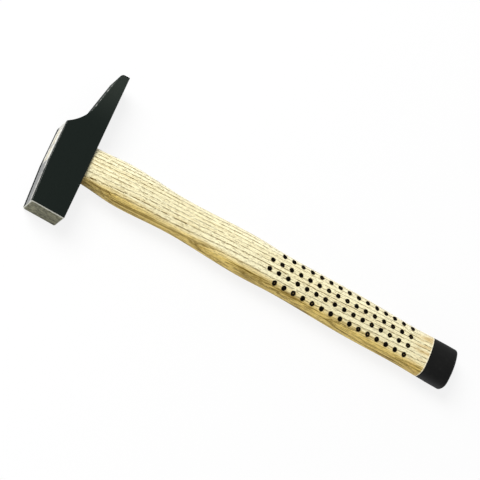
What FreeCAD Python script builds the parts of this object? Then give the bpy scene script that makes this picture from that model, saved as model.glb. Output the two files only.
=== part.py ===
import FreeCAD, Part

import math
import os

# A joiner's hammer lying on its side, in millimetres.
# +X runs from the head along the handle to the butt, +Y from the striking face to the
# peen, and +Z up from the lower cheek. The origin is on the lower cheek, straight below
# the middle of the eye, so z = 0 is also the surface that the hammer lies on.

Vector = FreeCAD.Vector

# Head
head_height = 23.5  # along the handle, where the eye goes through
head_thickness = 18.0  # from cheek to cheek
face_height = 22.0
face_thickness = 16.0
face_reach = 41.6  # from the handle's axis to the striking face
face_chamfer = 1.0
flat_reach = 12.0  # from the axis to where the head starts to taper towards the face
shoulder_reach = 15.0  # from the axis to the crest above the hollow
peen_reach = 60.2  # from the axis to the end of the peen
peen_height = 5.5  # the slope's height above the underside, carried on to the end
peen_slope = 12.1  # degrees
hollow_radius = 30.0
nose_radius = 3.0
head_edge_radius = 0.4

# Eye, a flat-sided hole with rounded ends, narrowest part of the way up
eye_length = 21.0  # along the head, at the underside
eye_width = 11.6
eye_corner_radius = 4.4
eye_waist_inset = 0.5
eye_waist_share = 0.45
eye_flare = 0.6

# Handle
handle_length = 263.5  # from the head's underside to the butt
handle_width = 27.7  # at the widest swell
handle_thickness = 16.6
broad_round_share = 0.91  # the broad sides' radius, as a share of the width
narrow_round_share = 0.68  # the narrow sides' and the corners' radii, of the thickness
corner_round_share = 0.3125
tenon_clearance = 0.04
section_pitch = 16.0
# Where along the handle, how wide and how thick: belly, neck, swells and waists
handle_form_shares = (
    (0.000, 0.858, 0.930),
    (0.100, 0.990, 0.975),
    (0.245, 0.863, 0.890),
    (0.430, 0.978, 1.000),
    (0.530, 0.924, 0.960),
    (0.725, 0.994, 0.990),
    (0.870, 0.952, 0.970),
    (0.975, 1.000, 1.010),
    (1.000, 1.000, 1.010),
)

# Wedges
wood_wedge_depth = 15.5
wood_wedge_top = 3.4
wood_wedge_tip = 0.9
steel_wedge_depth = 11.0
steel_wedge_width = 8.4
steel_wedge_top = 2.2
steel_wedge_tip = 0.4
wedge_clearance = 0.02

# Grip dots, rings pressed into both broad sides
dot_diameter = 2.7
dot_depth = 0.6
dot_core_diameter = 0.8
dot_core_drop = 0.25
dot_pitch_along = 6.76
dot_side_margin = 4.55  # from the edge of the widest swell to the outer rows
dot_rows = 4
dot_columns = 16
dot_cap_gap = 15.9  # from the cap's edge back to the last column
dot_block_offset = 0.2  # the block of dots lies a little nearer the peen's side
dot_block_turn = 0.5  # degrees, and is pressed in slightly askew

# End cap
cap_length = 18.8
cap_wall = 1.6
cap_edge_radius = 2.2
cap_edge_steps = 8
cap_clearance = 0.03

# How far cutting shapes run past what they cut
overrun = 1.0
# Places closer than this are the same place
touch = 0.001

half_height = head_height / 2
half_thickness = head_thickness / 2
butt_x = half_height + handle_length
cap_line_x = butt_x - cap_length
broad_side_radius = handle_width * broad_round_share
narrow_side_radius = handle_thickness * narrow_round_share
handle_corner_radius = handle_thickness * corner_round_share
dot_pitch_across = (handle_width - 2 * dot_side_margin) / (dot_rows - 1)


def prism(points, direction):
    """The solid swept by a flat outline along a direction."""
    outline = Part.makePolygon(points + [points[0]])
    return Part.Face(outline).extrude(direction)


def arc(start, middle, end):
    return Part.Arc(start, middle, end).toShape()


def rounded_rectangle(middle, size, first, radius):
    """A wire of four lines and four corner arcs. first is the way that size[0] runs."""
    second = Vector(0, 0, 1) if abs(first.z) < touch else Vector(0, 1, 0)
    bevel = radius * (1 - math.sqrt(0.5))
    half = (size[0] / 2, size[1] / 2)

    def place(a, b):
        return middle + first * a + second * b

    corners = []
    for sa, sb in ((1, 1), (-1, 1), (-1, -1), (1, -1)):
        points = [
            place(sa * half[0], sb * (half[1] - radius)),
            place(sa * (half[0] - bevel), sb * (half[1] - bevel)),
            place(sa * (half[0] - radius), sb * half[1]),
        ]
        corners.append(points if sa == sb else points[::-1])
    edges = []
    for number, corner in enumerate(corners):
        edges.append(arc(*corner))
        edges.append(Part.makeLine(corner[-1], corners[(number + 1) % len(corners)][0]))
    return Part.Wire(edges)


# Head


def head_point(reach, height):
    """A point on the head's outline: reach along the head, height above the underside."""
    return Vector(half_height - height, reach, 0)


def hollow_and_nose():
    """Edges from the shoulder down the hollow, along the peen's slope and round its nose."""
    slope = math.radians(peen_slope)
    along = (math.cos(slope), -math.sin(slope))
    away = (math.sin(slope), math.cos(slope))

    # The hollow starts at the shoulder and ends tangent to the peen's slope.
    to_shoulder = (shoulder_reach - peen_reach, head_height - peen_height)
    rise = to_shoulder[0] * away[0] + to_shoulder[1] * away[1]
    run = to_shoulder[0] * along[0] + to_shoulder[1] * along[1]
    foot = run + math.sqrt(hollow_radius**2 - (hollow_radius - rise) ** 2)
    centre_reach = peen_reach + foot * along[0] + hollow_radius * away[0]
    centre_height = peen_height + foot * along[1] + hollow_radius * away[1]
    turn = math.acos((hollow_radius - rise) / hollow_radius)

    def on_hollow(angle):
        return head_point(
            centre_reach - hollow_radius * math.sin(slope + angle),
            centre_height - hollow_radius * math.cos(slope + angle),
        )

    # The nose is tangent to the slope and to the peen's end.
    nose_reach = peen_reach - nose_radius
    nose_height = (
        peen_height + nose_radius * math.tan(slope) - nose_radius / math.cos(slope)
    )

    def on_nose(angle):
        return head_point(
            nose_reach + nose_radius * math.cos(angle),
            nose_height + nose_radius * math.sin(angle),
        )

    nose_turn = math.pi / 2 - slope
    return [
        arc(on_hollow(turn), on_hollow(turn / 2), on_hollow(0)),
        Part.makeLine(on_hollow(0), on_nose(nose_turn)),
        arc(on_nose(nose_turn), on_nose(nose_turn / 2), on_nose(0)),
    ]


def make_peen_half():
    """The head from the start of the face's taper to the peen, cheeks parallel."""
    curved = hollow_and_nose()
    corners = [
        curved[-1].Vertexes[-1].Point,
        head_point(peen_reach, 0),
        head_point(-flat_reach, 0),
        head_point(-flat_reach, head_height),
        curved[0].Vertexes[0].Point,
    ]
    straight = [Part.makeLine(a, b) for a, b in zip(corners, corners[1:])]
    outline = Part.Wire(curved + straight)
    body = Part.Face(outline).extrude(Vector(0, 0, head_thickness))
    rounded = [
        edge
        for edge in body.Edges
        if abs(edge.CenterOfMass.z - half_thickness) > half_thickness - touch
        and edge.CenterOfMass.y > touch - flat_reach
    ]
    return body.makeFillet(head_edge_radius, rounded)


def face_section(reach, inset):
    """A rounded rectangle across the face's half of the head."""
    share = (-flat_reach - reach) / (face_reach - flat_reach)
    height = head_height + (face_height - head_height) * share
    thickness = head_thickness + (face_thickness - head_thickness) * share
    low_x = half_height - height + inset
    high_x = half_height - inset
    middle = Vector((low_x + high_x) / 2, reach, half_thickness)
    size = (high_x - low_x, thickness - 2 * inset)
    return rounded_rectangle(middle, size, Vector(1, 0, 0), head_edge_radius)


def make_face_half():
    """The head from the start of the taper to the striking face, with its chamfer."""
    places = [(-flat_reach, 0), (face_chamfer - face_reach, 0), (-face_reach, face_chamfer)]
    return Part.makeLoft([face_section(*place) for place in places], True, True)


def eye_size(x):
    """Length and width of the eye at a height x on the handle's axis."""
    waist_x = half_height - eye_waist_share * head_height
    if x > waist_x:
        grow = -eye_waist_inset * (half_height - x) / (half_height - waist_x)
    else:
        share = (waist_x - x) / (waist_x + half_height)
        grow = -eye_waist_inset + (eye_waist_inset + eye_flare) * share
    return eye_length + 2 * grow, eye_width + 2 * grow


def eye_wire(x, clearance):
    length, width = eye_size(x)
    size = (length - 2 * clearance, width - 2 * clearance)
    middle = Vector(x, 0, half_thickness)
    return rounded_rectangle(middle, size, Vector(0, 1, 0), eye_corner_radius - clearance)


def eye_solid(top_x, bottom_x, clearance):
    """The eye's inside, or with a clearance the wood that fills it."""
    waist_x = half_height - eye_waist_share * head_height
    wires = [eye_wire(x, clearance) for x in (top_x, waist_x, bottom_x)]
    upper = Part.makeLoft(wires[:2], True, True)
    lower = Part.makeLoft(wires[1:], True, True)
    return upper.fuse(lower).removeSplitter()


def make_head():
    body = make_peen_half().fuse(make_face_half()).removeSplitter()
    eye = eye_solid(-half_height - overrun, half_height + overrun, 0)
    return body.cut(eye)


# Handle


def form_at(x):
    """Half width and half thickness of the handle at x, smooth between its swells."""
    share = (x - half_height) / handle_length
    share = min(max(share, handle_form_shares[0][0]), handle_form_shares[-1][0])
    for low, high in zip(handle_form_shares, handle_form_shares[1:]):
        if share <= high[0]:
            break
    t = (share - low[0]) / (high[0] - low[0])
    blend = t * t * (3 - 2 * t)
    width = low[1] + (high[1] - low[1]) * blend
    thickness = low[2] + (high[2] - low[2]) * blend
    return handle_width * width / 2, handle_thickness * thickness / 2


def section_corner(x):
    """Centres of the corner's arc, of the narrow side's arc and of the broad side's arc."""
    half_width, half_thick = form_at(x)
    broad_centre = half_thick - broad_side_radius
    narrow_centre = half_width - narrow_side_radius
    # The corner's arc touches both sides' arcs from inside, so its centre lies a known
    # distance from each of their centres.
    broad = broad_side_radius - handle_corner_radius
    narrow = narrow_side_radius - handle_corner_radius
    gap = math.hypot(narrow_centre, broad_centre)
    along = (gap**2 + broad**2 - narrow**2) / (2 * gap)
    aside = math.sqrt(broad**2 - along**2)
    unit = (narrow_centre / gap, -broad_centre / gap)
    corner = (
        along * unit[0] + aside * unit[1],
        broad_centre + along * unit[1] - aside * unit[0],
    )
    return corner, narrow_centre, broad_centre


def section_wire(x, inset):
    """The handle's cross section: two broad and two narrow crowned sides, rounded corners."""
    corner, narrow_centre, broad_centre = section_corner(x)
    half_width, half_thick = form_at(x)
    radius = handle_corner_radius - inset

    def on_corner(angle):
        return (
            corner[0] + radius * math.cos(angle),
            corner[1] + radius * math.sin(angle),
        )

    low = math.atan2(corner[1], corner[0] - narrow_centre)
    high = math.atan2(corner[1] - broad_centre, corner[0])
    quarter = [on_corner(low), on_corner((low + high) / 2), on_corner(high)]

    def place(point, sy, sz):
        return Vector(x, sy * point[0], half_thickness + sz * point[1])

    corners = []
    for sy, sz in ((1, 1), (-1, 1), (-1, -1), (1, -1)):
        points = [place(point, sy, sz) for point in quarter]
        corners.append(points if sy == sz else points[::-1])
    crowns = [
        place((0, half_thick - inset), 1, 1),
        place((half_width - inset, 0), -1, 1),
        place((0, half_thick - inset), 1, -1),
        place((half_width - inset, 0), 1, 1),
    ]
    edges = []
    for number, corner_points in enumerate(corners):
        following = corners[(number + 1) % len(corners)][0]
        edges.append(arc(*corner_points))
        edges.append(arc(corner_points[-1], crowns[number], following))
    return Part.Wire(edges)


def handle_run(start, end, inset):
    """The handle's form between two places along it, drawn in by an inset."""
    count = max(2, math.ceil((end - start) / section_pitch) + 1)
    places = [start + (end - start) * n / (count - 1) for n in range(count)]
    return Part.makeLoft([section_wire(x, inset) for x in places], True, False)


def broad_side_height(x, y):
    """Height of a broad side, or of the corner beside it, over the handle's middle plane."""
    corner, _, broad_centre = section_corner(x)
    turn = math.atan2(corner[0], corner[1] - broad_centre)
    if abs(y) <= broad_side_radius * math.sin(turn):
        return broad_centre + math.sqrt(broad_side_radius**2 - y**2)
    return corner[1] + math.sqrt(handle_corner_radius**2 - (abs(y) - corner[0]) ** 2)


def dot_places():
    """Where the grip dots lie: outer rows start one column later than the inner rows."""
    turn = math.radians(dot_block_turn)
    middle = cap_line_x - dot_cap_gap - dot_pitch_along * (dot_columns - 1) / 2
    for row in range(dot_rows):
        outer = row in (0, dot_rows - 1)
        across = (row - (dot_rows - 1) / 2) * dot_pitch_across
        for column in range(1 if outer else 0, dot_columns):
            along = (column - (dot_columns - 1) / 2) * dot_pitch_along
            x = middle + along * math.cos(turn) - across * math.sin(turn)
            y = dot_block_offset + along * math.sin(turn) + across * math.cos(turn)
            yield x, y


def dot_cutter():
    """A ring-shaped punch with its open end up; the wood it leaves in the middle is the core."""
    radius = dot_diameter / 2
    core = dot_core_diameter / 2
    points = [
        Vector(0, 0, dot_depth + overrun),
        Vector(radius, 0, dot_depth + overrun),
        Vector(radius, 0, dot_core_drop),
        Vector((radius + core) / 2, 0, 0),
        Vector(core, 0, dot_depth - dot_core_drop),
        Vector(0, 0, dot_depth - dot_core_drop),
    ]
    face = Part.Face(Part.makePolygon(points + [points[0]]))
    return face.revolve(Vector(0, 0, 0), Vector(0, 0, 1), 360)


def dot_cutters():
    up = dot_cutter()
    down = up.mirror(Vector(0, 0, 0), Vector(0, 0, 1))
    cutters = []
    for x, y in dot_places():
        surface = broad_side_height(x, y)
        for cutter, side in ((up, 1), (down, -1)):
            z = half_thickness + side * (surface - dot_depth)
            cutters.append(cutter.translated(Vector(x, y, z)))
    return Part.makeCompound(cutters)


def wedge_prism(depth, top, tip, width, along_head, clearance):
    """A wedge driven in from the top of the head, with its edge pointing down the handle.

    With a clearance it is the slot for that wedge, and runs out past the top.
    """
    top_x = -half_height
    tip_x = top_x + depth + clearance
    slope = (top - tip) / 2 / depth
    above_x = top_x - (overrun if clearance else 0)
    above = top / 2 + clearance + (overrun * slope if clearance else 0)
    below = tip / 2 + clearance
    outline = [(above_x, -above), (above_x, above), (tip_x, below), (tip_x, -below)]
    reach = width / 2 + clearance
    if along_head:
        points = [Vector(x, -reach, half_thickness + s) for x, s in outline]
        return prism(points, Vector(0, 2 * reach, 0))
    points = [Vector(x, s, half_thickness - reach) for x, s in outline]
    return prism(points, Vector(0, 0, 2 * reach))


def wood_wedge_shape(clearance):
    return wedge_prism(
        wood_wedge_depth,
        wood_wedge_top,
        wood_wedge_tip,
        eye_length + 2 * eye_flare + 2 * overrun,
        True,
        clearance,
    )


def steel_wedge_shape(clearance):
    return wedge_prism(
        steel_wedge_depth,
        steel_wedge_top,
        steel_wedge_tip,
        steel_wedge_width,
        False,
        clearance,
    )


def tenon_shape():
    return eye_solid(-half_height, half_height, tenon_clearance)


def make_handle():
    body = handle_run(half_height, cap_line_x, 0)
    body = body.cut(dot_cutters())
    spigot_end = butt_x - cap_wall - cap_clearance
    spigot = handle_run(cap_line_x, spigot_end, cap_wall + cap_clearance)
    tenon = tenon_shape().cut(wood_wedge_shape(wedge_clearance))
    tenon = tenon.cut(steel_wedge_shape(wedge_clearance))
    return body.fuse([spigot, tenon]).removeSplitter()


def make_wood_wedge():
    wedge = tenon_shape().common(wood_wedge_shape(0))
    return wedge.cut(steel_wedge_shape(wedge_clearance))


def make_steel_wedge():
    return steel_wedge_shape(0)


def make_end_cap():
    round_x = butt_x - cap_edge_radius
    rounding = []
    for step in range(cap_edge_steps + 1):
        angle = math.pi / 2 * step / cap_edge_steps
        x = round_x + cap_edge_radius * math.sin(angle)
        rounding.append(section_wire(x, cap_edge_radius * (1 - math.cos(angle))))
    outer = handle_run(cap_line_x, round_x, 0).fuse(Part.makeLoft(rounding, True, True))
    return outer.cut(handle_run(cap_line_x, butt_x - cap_wall, cap_wall))


pieces = {
    "head": make_head,
    "handle": make_handle,
    "wood_wedge": make_wood_wedge,
    "steel_wedge": make_steel_wedge,
    "end_cap": make_end_cap,
}

os.makedirs("parts", exist_ok=True)
for name, make in pieces.items():
    shape = make()
    solid = shape.Solids[0] if len(shape.Solids) == 1 else shape
    solid.exportStep("parts/" + name + ".step")
    print(name, "solids", len(shape.Solids), "valid", shape.isValid())
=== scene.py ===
import math
import random
from functools import reduce

import bmesh
import bpy
from mathutils import Matrix, Vector


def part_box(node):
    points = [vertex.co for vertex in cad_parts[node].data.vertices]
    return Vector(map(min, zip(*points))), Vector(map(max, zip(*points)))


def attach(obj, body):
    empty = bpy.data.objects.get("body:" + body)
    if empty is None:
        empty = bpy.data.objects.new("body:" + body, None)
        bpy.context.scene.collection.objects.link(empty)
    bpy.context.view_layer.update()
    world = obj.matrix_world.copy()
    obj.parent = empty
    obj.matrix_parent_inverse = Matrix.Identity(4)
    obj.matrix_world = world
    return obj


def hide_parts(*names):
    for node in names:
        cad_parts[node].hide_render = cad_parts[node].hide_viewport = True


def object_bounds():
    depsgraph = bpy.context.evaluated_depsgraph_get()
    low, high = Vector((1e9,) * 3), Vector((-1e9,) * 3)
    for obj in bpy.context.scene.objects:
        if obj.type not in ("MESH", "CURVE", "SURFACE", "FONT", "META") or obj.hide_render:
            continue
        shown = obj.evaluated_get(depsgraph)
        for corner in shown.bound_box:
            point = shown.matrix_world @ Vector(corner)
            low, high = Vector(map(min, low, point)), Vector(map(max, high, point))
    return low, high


# A joiner's hammer lying on its side. Lengths are in metres, and the axes are the frame's:
# +X along the handle to the butt, +Y from the striking face to the peen, +Z up.
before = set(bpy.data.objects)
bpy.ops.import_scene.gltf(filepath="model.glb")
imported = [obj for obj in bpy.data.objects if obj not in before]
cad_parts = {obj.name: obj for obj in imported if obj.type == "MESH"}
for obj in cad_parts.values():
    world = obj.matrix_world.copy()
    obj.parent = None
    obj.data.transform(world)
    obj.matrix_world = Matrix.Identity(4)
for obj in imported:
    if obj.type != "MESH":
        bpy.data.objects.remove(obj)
cad_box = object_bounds()

mm = 0.001

# What the frame says of the head, the cap and the tenon
head_low, head_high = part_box("head")
half_height = head_high.x
middle_z = (head_low.z + head_high.z) / 2
thickness = head_high.z - head_low.z
cap_line_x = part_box("end_cap")[0].x
butt_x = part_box("end_cap")[1].x
tenon_top_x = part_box("handle")[0].x
eye_middle = Vector((0, 0, middle_z))
underside_middle = Vector((half_height, 0, middle_z))

# Head
face_height = 22.0 * mm
face_thickness = 16.0 * mm
face_chamfer = 1.0 * mm
flat_reach = 12.0 * mm
shoulder_reach = 15.0 * mm
peen_height = 5.5 * mm
peen_slope = math.radians(12.1)
hollow_radius = 30.0 * mm
nose_radius = 3.0 * mm
hollow_steps = 18
nose_steps = 7
edge_round = 0.42 * mm
face_edge_round = 0.12 * mm
round_steps = 3
sharp_angle = math.radians(28)

# Eye and tenon
eye_length = 21.0 * mm
eye_width = 11.6 * mm
eye_corner = 4.4 * mm
eye_waist_share = 0.45
eye_waist_inset = 0.5 * mm
eye_flare = 0.6 * mm
tenon_clearance = 0.04 * mm
tenon_rim = 0.12 * mm
eye_corner_steps = 8

# Handle
handle_width = 27.7 * mm
handle_thickness = 16.6 * mm
broad_round_share = 0.91
narrow_round_share = 0.68
corner_round_share = 0.3125
broad_side_radius = broad_round_share * handle_width
narrow_side_radius = narrow_round_share * handle_thickness
handle_corner_radius = corner_round_share * handle_thickness
station_pitch = 3.0 * mm
broad_steps = 9
corner_steps = 5
narrow_steps = 4
handle_form_shares = (
    (0.000, 0.858, 0.930),
    (0.100, 0.990, 0.975),
    (0.245, 0.863, 0.890),
    (0.430, 0.978, 1.000),
    (0.530, 0.924, 0.960),
    (0.725, 0.994, 0.990),
    (0.870, 0.952, 0.970),
    (0.975, 1.000, 1.010),
    (1.000, 1.000, 1.010),
)

# Wedges
wood_wedge_depth = 15.5 * mm
wood_wedge_top = 3.4 * mm
wood_wedge_tip = 0.9 * mm
steel_wedge_depth = 11.0 * mm
steel_wedge_width = 8.4 * mm
steel_wedge_top = 2.2 * mm
steel_wedge_tip = 0.4 * mm

# How far the grain runs askew of the handle
grain_run_out = math.radians(3)

# Grip dots
dot_diameter = 2.7 * mm
dot_depth = 0.6 * mm
dot_core_diameter = 0.8 * mm
dot_core_drop = 0.25 * mm
dot_pitch_along = 6.76 * mm
dot_pitch_across = 6.2 * mm
dot_rows = 4
dot_columns = 16
dot_cap_gap = 15.9 * mm
dot_block_offset = 0.2 * mm
dot_block_turn = math.radians(0.5)
dot_sides = 20
dot_size_spread = 0.05

# Cap
cap_wall = 1.6 * mm
cap_edge_radius = 2.2 * mm
cap_edge_steps = 7
cap_dome = 0.25 * mm
cap_dome_rings = 4
cap_dome_tip_share = 0.3
cap_clearance = 0.03 * mm

# Where the ash changes, as spans from where a change starts to where it is complete
# heartwood side golden, partly the wood's own tone and partly painted shade; sapwood side pale,
# partly the wood's own tone and partly painted light
heartwood_and_shade_span = (6.5 * mm, 12.0 * mm)  # out from the middle, on the heart side
sapwood_and_light_span = (6.0 * mm, 14.0 * mm)  # and on the sap side
end_grain_span = (-0.45 * mm, -0.15 * mm)  # from the tenon's end
near_rim_span = (-0.7 * mm, -0.3 * mm)  # from the eye's rim
far_rim_span = (1.7 * mm, 2.4 * mm)
# painted shade on the handle by the head
shade_reach_span = (0.0 * mm, 26.0 * mm)  # from the head
shade_side_span = (9.0 * mm, 13.0 * mm)  # out from the middle, on the heart side
tint_span = (-16.0 * mm, -4.0 * mm)  # from the cap's edge
# painted highlight: a pale line on the wood beside the cap's edge
seam_highlight_span = (-0.8 * mm, -0.5 * mm)
scorch_span = (0.12 * mm, 0.34 * mm)  # from a grip dot's edge
toast_span = (0.0 * mm, 0.8 * mm)
core_span = (0.20 * mm, 0.50 * mm)  # from a grip dot's middle

# Where the lacquer changes
face_flat_span = (0.06 * mm, 0.12 * mm)  # from the striking face
face_line_span = (-0.05 * mm, 0.05 * mm)  # from the back of its chamfer
# painted highlight along the back of the face's chamfer
chamfer_highlight_span = (-0.60 * mm, -0.40 * mm)
neck_span = (-14.0 * mm, -12.0 * mm)  # along the head, from the middle of the eye
slope_span = (16.0 * mm, 24.0 * mm)
wear_end_span = (50.0 * mm, 54.0 * mm)
peen_end_span = (20.0 * mm, 58.0 * mm)
patch_front_span = (-0.2 * mm, 0.2 * mm)  # from where the head starts to taper
patch_back_span = (-0.3 * mm, 0.0 * mm)  # from the shoulder
patch_depth_span = (0.08 * mm, 0.16 * mm)  # down from the top
underside_span = (-1.2 * mm, -0.7 * mm)  # from the underside
cheek_edge_span = (0.16 * mm, 0.34 * mm)  # in from the near cheek
patch_near_span = (1.1 * mm, 1.5 * mm)
wear_near_span = (1.3 * mm, 1.9 * mm)
wear_far_span = (3.6 * mm, 4.6 * mm)
dirt_near_span = (1.6 * mm, 2.4 * mm)
clean_near_span = (0.02 * mm, 0.12 * mm)
patch_far_span = (4.8 * mm, 5.3 * mm)  # in from the far cheek
dirt_far_span = (3.9 * mm, 4.9 * mm)
clean_far_span = (0.1 * mm, 0.3 * mm)

# How deep each finish's fine relief is
ash_relief = 0.07 * mm
wedge_wood_relief = 0.05 * mm
wedge_steel_relief = 0.01 * mm
lacquer_relief = 0.02 * mm
cap_relief = 0.03 * mm

# White table and white room
table_size = 6.0
table_middle_x = 0.1
table_drop = 0.02 * mm
table_brightness = 0.84
table_reflection = 0.5
wall_brightness = 0.80
ceiling_dimming = 0.62
dimming_start = 0.15
dimming_end = 0.75

# The photograph's view
camera_aim = Vector((117.2, 7.0, 9.0)) * mm
camera_distance = 1312.2 * mm
camera_bearing = math.radians(-120.88)
camera_elevation = math.radians(61.185)
camera_roll = math.radians(57.36)
focal_pixels = 2158
frame_pixels = 480
sensor_width = 36.0
nearest_shown = 0.05

# How far cutting shapes run past what they cut, and how near is the same place
overrun = 1.0 * mm
touch = 0.002 * mm

X, Y, Z = (Vector(axis) for axis in ((1, 0, 0), (0, 1, 0), (0, 0, 1)))


# Modelling by hand, in edit mode


def clear_selection():
    bpy.ops.object.select_all(action="DESELECT")


def select_only(piece):
    clear_selection()
    piece.select_set(True)
    bpy.context.view_layer.objects.active = piece


def block(name, low, high):
    """A new piece that starts as a block between two corners, open in edit mode."""
    clear_selection()
    low, high = Vector(low), Vector(high)
    bpy.ops.mesh.primitive_cube_add(size=1, location=(low + high) / 2)
    piece = bpy.context.object
    piece.name = name
    piece.scale = high - low
    bpy.ops.object.transform_apply(location=True, rotation=True, scale=True)
    bpy.ops.object.mode_set(mode="EDIT")
    return piece


def pick(piece, kind, test):
    """Selects just the faces or edges that pass a test."""
    bpy.ops.mesh.select_mode(type=kind)
    bpy.ops.mesh.select_all(action="DESELECT")
    mesh = bmesh.from_edit_mesh(piece.data)
    for item in {"FACE": mesh.faces, "EDGE": mesh.edges}[kind]:
        item.select_set(test(item))
    mesh.select_flush_mode()
    bmesh.update_edit_mesh(piece.data)


def pick_facing(piece, way):
    pick(piece, "FACE", lambda face: face.normal.dot(way) > 0.999)


def pull(move, scale=(1, 1, 1), about=(0, 0, 0)):
    """Extrudes what is selected, and scales the new end about a point."""
    bpy.ops.mesh.extrude_region_move(TRANSFORM_OT_translate={"value": move})
    bpy.ops.transform.resize(value=scale, center_override=about)


def turn_outwards():
    bpy.ops.mesh.select_all(action="SELECT")
    bpy.ops.mesh.normals_make_consistent(inside=False)


def close_edit():
    turn_outwards()
    bpy.ops.object.mode_set(mode="OBJECT")


def open_edit(piece):
    select_only(piece)
    bpy.ops.object.mode_set(mode="EDIT")


def apply_modifier(piece, kind, **settings):
    select_only(piece)
    modifier = piece.modifiers.new(kind.lower(), kind)
    for name, value in settings.items():
        setattr(modifier, name, value)
    bpy.ops.object.modifier_apply(modifier=modifier.name)


def combine(piece, other, operation):
    """Cuts another shape out of a piece, or joins it on, and takes the other away."""
    apply_modifier(piece, "BOOLEAN", object=other, operation=operation, solver="MANIFOLD")
    bpy.data.objects.remove(other)


def smooth(piece):
    """Smooth shading that stays flat on flat faces and keeps sharp edges sharp."""
    select_only(piece)
    bpy.ops.object.shade_smooth_by_angle(angle=sharp_angle)
    apply_modifier(piece, "WEIGHTED_NORMAL", keep_sharp=True)


def finish_piece(piece, material, slot, *nodes):
    """Smooths a piece, gives it its material, and hides the nodes that it stands in for."""
    smooth(piece)
    piece.data.materials.clear()
    piece.data.materials.append(material)
    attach(piece, "root")
    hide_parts(*nodes)


# Head


def peen_outline():
    """Reach and height from the shoulder down the hollow, along the slope and round the nose."""
    along = (math.cos(peen_slope), -math.sin(peen_slope))
    away = (math.sin(peen_slope), math.cos(peen_slope))
    to_shoulder = (shoulder_reach - head_high.y, 2 * half_height - peen_height)
    climb = to_shoulder[0] * away[0] + to_shoulder[1] * away[1]
    run = to_shoulder[0] * along[0] + to_shoulder[1] * along[1]
    foot = run + math.sqrt(hollow_radius**2 - (hollow_radius - climb) ** 2)
    centre_reach = head_high.y + foot * along[0] + hollow_radius * away[0]
    centre_height = peen_height + foot * along[1] + hollow_radius * away[1]
    turn = math.acos((hollow_radius - climb) / hollow_radius)
    for step in range(1, hollow_steps + 1):
        angle = peen_slope + turn * (1 - step / hollow_steps)
        yield (
            centre_reach - hollow_radius * math.sin(angle),
            centre_height - hollow_radius * math.cos(angle),
        )
    nose_height = (
        peen_height + nose_radius * math.tan(peen_slope) - nose_radius / math.cos(peen_slope)
    )
    for step in range(nose_steps + 1):
        angle = (math.pi / 2 - peen_slope) * (1 - step / nose_steps)
        yield (
            head_high.y - nose_radius + nose_radius * math.cos(angle),
            nose_height + nose_radius * math.sin(angle),
        )


def eye_plug(name, low_x, high_x, clearance):
    """The inside of the eye as a solid, drawn in by a clearance."""
    waist_x = half_height * (1 - 2 * eye_waist_share)
    half = Vector((0, eye_length / 2 - clearance, eye_width / 2 - clearance))
    plug = block(name, eye_middle - half + X * waist_x, eye_middle + half + X * high_x)
    pick_facing(plug, -X)
    inset = eye_waist_inset
    sizes = Vector((1, 1 - inset / half.y, 1 - inset / half.z))
    bpy.ops.transform.resize(value=sizes, center_override=eye_middle)
    grown = (1 + eye_flare / half.y, 1 + eye_flare / half.z)
    back = Vector((1, grown[0] / sizes.y, grown[1] / sizes.z))
    pull(X * (low_x - waist_x), back, eye_middle)
    pick(plug, "EDGE", lambda edge: abs((edge.verts[0].co - edge.verts[1].co).x) > overrun)
    bpy.ops.mesh.bevel(offset=eye_corner - clearance, segments=eye_corner_steps)
    close_edit()
    return plug


def draw_out_face(piece):
    """Tapers the face's half down to its chamfered face, and keeps the underside straight."""
    share = 1 - face_chamfer / (-head_low.y - flat_reach)
    taper = (
        1 + (face_height / (2 * half_height) - 1) * share,
        1,
        1 + (face_thickness / thickness - 1) * share,
    )
    pick_facing(piece, -Y)
    pull(Y * (head_low.y + face_chamfer + flat_reach), taper, underside_middle)
    face_middle = Vector((half_height - face_height / 2, 0, middle_z))
    drawn_in = (
        1 - 2 * face_chamfer / face_height,
        1,
        1 - 2 * face_chamfer / face_thickness,
    )
    pull(-Y * face_chamfer, drawn_in, face_middle)


def draw_out_peen(piece):
    """Draws the peen's half out along its outline, and keeps the underside straight."""
    pick_facing(piece, Y)
    reach, height = shoulder_reach, 2 * half_height
    for next_reach, next_height in peen_outline():
        pull(Y * (next_reach - reach), (next_height / height, 1, 1), underside_middle)
        reach, height = next_reach, next_height


def round_edges(piece):
    """Rounds the forging's edges, and only touches off the face's ground ones."""
    ground_from = head_low.y + face_chamfer / 2

    def is_ground(edge):
        return min(vertex.co.y for vertex in edge.verts) < ground_from

    def is_sharp(edge):
        return edge.calc_face_angle(0) > sharp_angle

    pick(piece, "EDGE", lambda edge: is_sharp(edge) and not is_ground(edge))
    bpy.ops.mesh.bevel(offset=edge_round, segments=round_steps)
    pick(piece, "EDGE", lambda edge: is_sharp(edge) and is_ground(edge))
    bpy.ops.mesh.bevel(offset=face_edge_round, segments=round_steps)


def model_head():
    """A block drawn out to the face on one side and to the peen on the other, with its eye."""
    piece = block(
        "hammer_head",
        (-half_height, -flat_reach, head_low.z),
        (half_height, shoulder_reach, head_high.z),
    )
    draw_out_face(piece)
    draw_out_peen(piece)
    round_edges(piece)
    close_edit()
    eye = eye_plug("eye", -half_height - overrun, half_height + overrun, 0)
    combine(piece, eye, "DIFFERENCE")
    return piece


# Handle and cap


def form_at(x):
    """Half width and half thickness of the handle at x, smooth between its swells."""
    share = (x - half_height) / (butt_x - half_height)
    share = min(max(share, handle_form_shares[0][0]), handle_form_shares[-1][0])
    for low, high in zip(handle_form_shares, handle_form_shares[1:]):
        if share <= high[0]:
            break
    t = (share - low[0]) / (high[0] - low[0])
    ease = t * t * (3 - 2 * t)
    width = low[1] + (high[1] - low[1]) * ease
    thick = low[2] + (high[2] - low[2]) * ease
    return handle_width * width / 2, handle_thickness * thick / 2


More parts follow.
